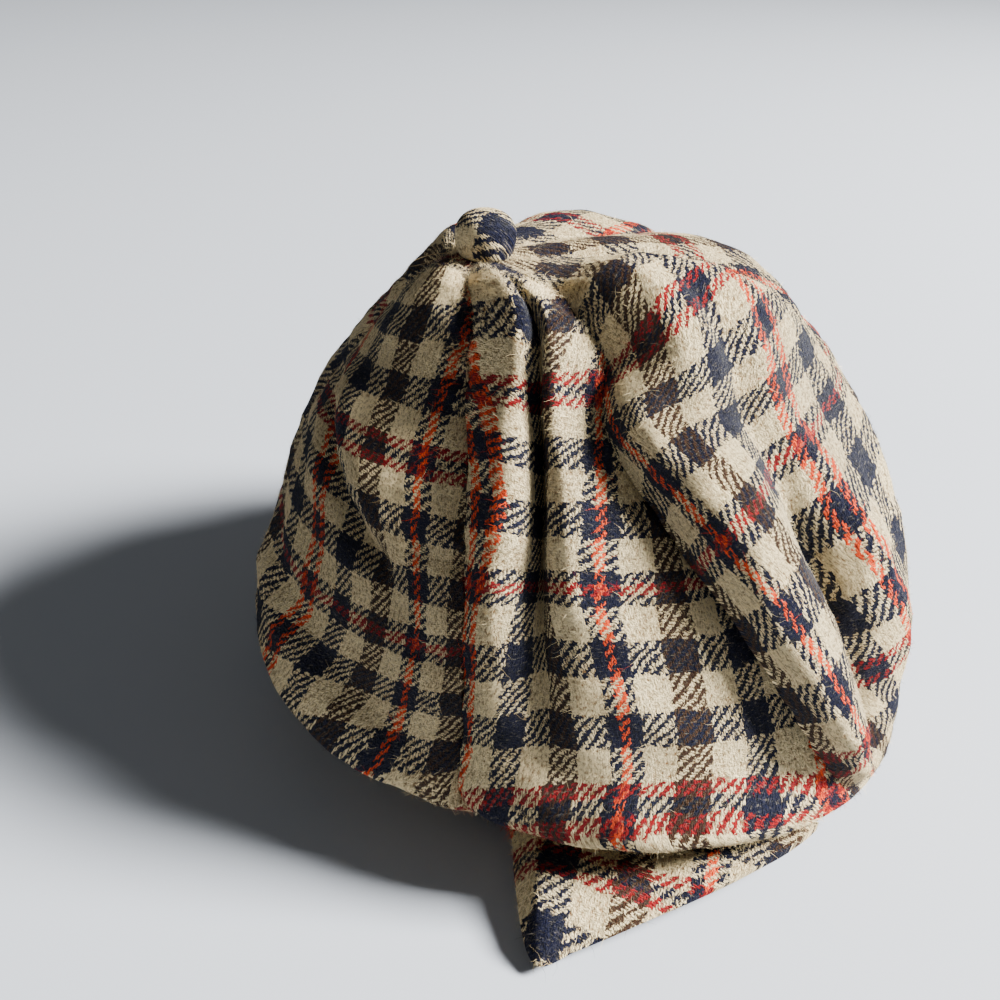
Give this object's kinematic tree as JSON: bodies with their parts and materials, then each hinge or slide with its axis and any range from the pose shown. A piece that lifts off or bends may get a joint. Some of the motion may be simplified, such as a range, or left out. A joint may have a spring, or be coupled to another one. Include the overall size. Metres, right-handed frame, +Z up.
{
  "type": "newsboy cap",
  "caption": "Soft gored newsboy cap in check wool tweed, with a covered top button, a slumped full crown and a short creased peak.",
  "frame": {"origin": "centre of the cap's box at the surface that it rests on", "axes": "+Z up, +Y from the peak toward the back of the cap, +X toward the side that faces right when the peak faces the viewer"},
  "size_m": [0.2452, 0.2494, 0.1766],
  "materials": {
    "gore_front_cloth": "matt brushed wool",
    "gore_right_front_cloth": "matt brushed wool",
    "gore_right_rear_cloth": "matt brushed wool",
    "gore_rear_cloth": "matt brushed wool",
    "gore_left_rear_cloth": "matt brushed wool",
    "gore_left_front_cloth": "matt brushed wool",
    "band_cloth": "matt wool",
    "button_cloth": "matt brushed wool",
    "peak_cloth": "matt brushed wool"
  },
  "bodies": {
    "root": {"gore_front": "gore_front_cloth", "gore_right_front": "gore_right_front_cloth", "gore_right_rear": "gore_right_rear_cloth", "gore_rear": "gore_rear_cloth", "gore_left_rear": "gore_left_rear_cloth", "gore_left_front": "gore_left_front_cloth", "head_band": "band_cloth", "button": "button_cloth", "peak": "peak_cloth"}
  },
  "joints": []
}
